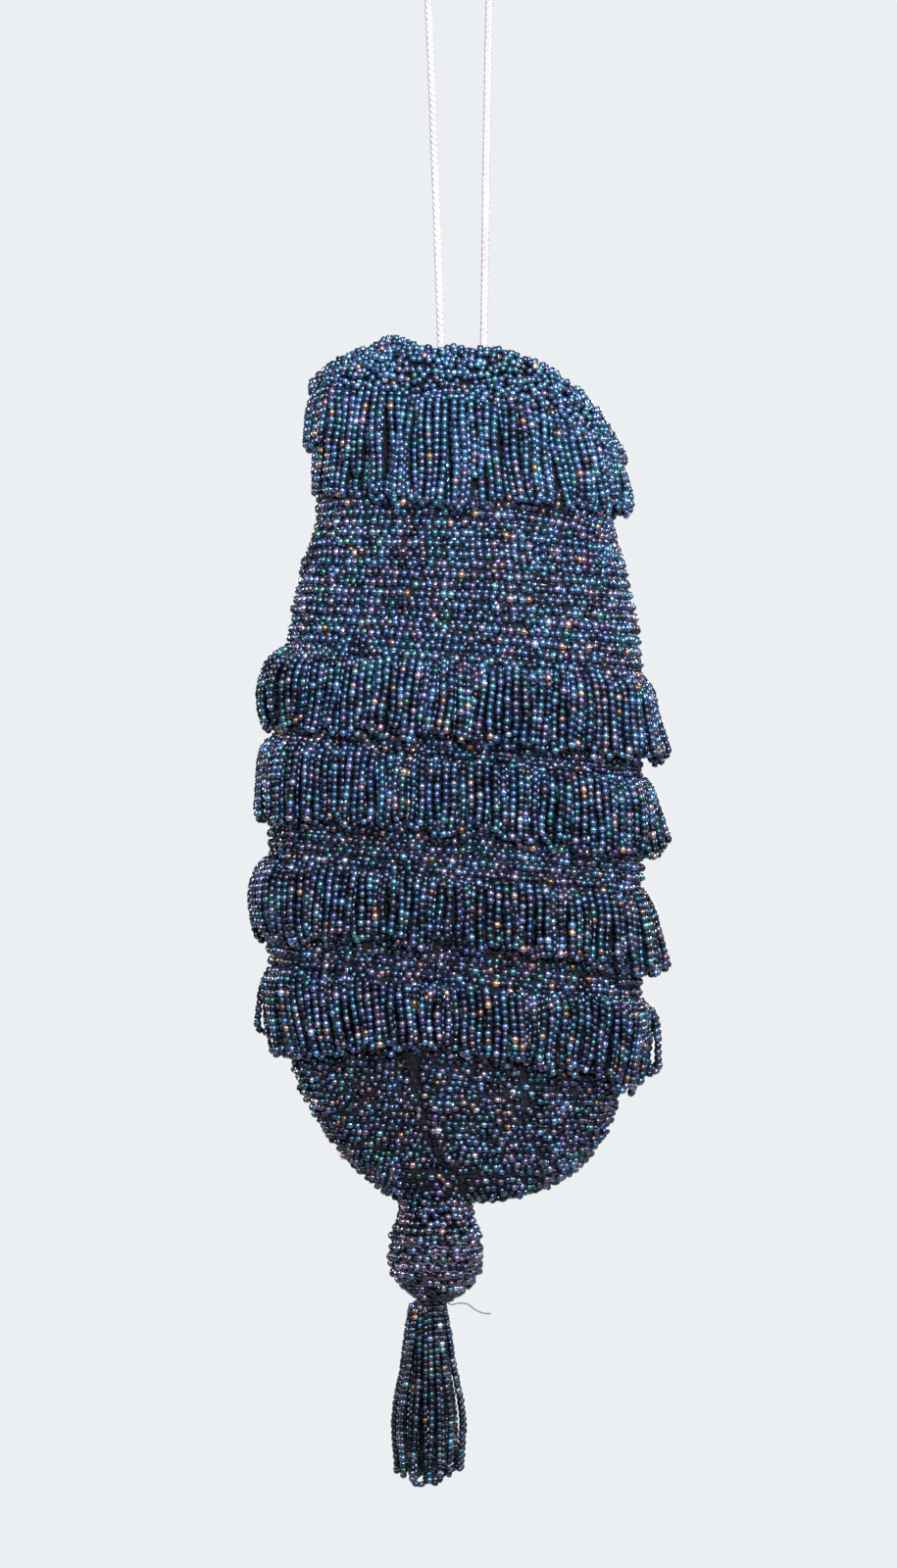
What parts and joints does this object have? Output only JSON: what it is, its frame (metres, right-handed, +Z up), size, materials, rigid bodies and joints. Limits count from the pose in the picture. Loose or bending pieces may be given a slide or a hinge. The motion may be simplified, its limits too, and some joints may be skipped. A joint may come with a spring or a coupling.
{
  "type": "beaded drawstring evening purse",
  "caption": "Soft crocheted pouch purse covered in seed beads, with looped bead fringes, a beaded ball, a bead tassel and a drawstring to hang it by.",
  "frame": {"origin": "the inside of the drawstring's loop at its top, where the purse hangs on a hook or a finger", "axes": "+Z up along the hanging cord, +X to the right of the front, the front faces -Y"},
  "size_m": [0.1171, 0.051, 0.4226],
  "materials": {
    "seed_beads": "glossy dark iridescent glass, opaque",
    "crochet_thread": "twisted dark purple thread",
    "cord_yarn": "braided pale pink beige cord"
  },
  "bodies": {
    "root": {"bag_body": "crochet_thread", "cuff_fringe": "seed_beads", "fringe_tier_2": "seed_beads", "fringe_tier_3": "seed_beads", "fringe_tier_4": "seed_beads", "fringe_tier_5": "seed_beads", "beaded_ball": "seed_beads", "tassel": "seed_beads", "drawstring": "cord_yarn", "drawstring_run": "cord_yarn"}
  },
  "joints": []
}
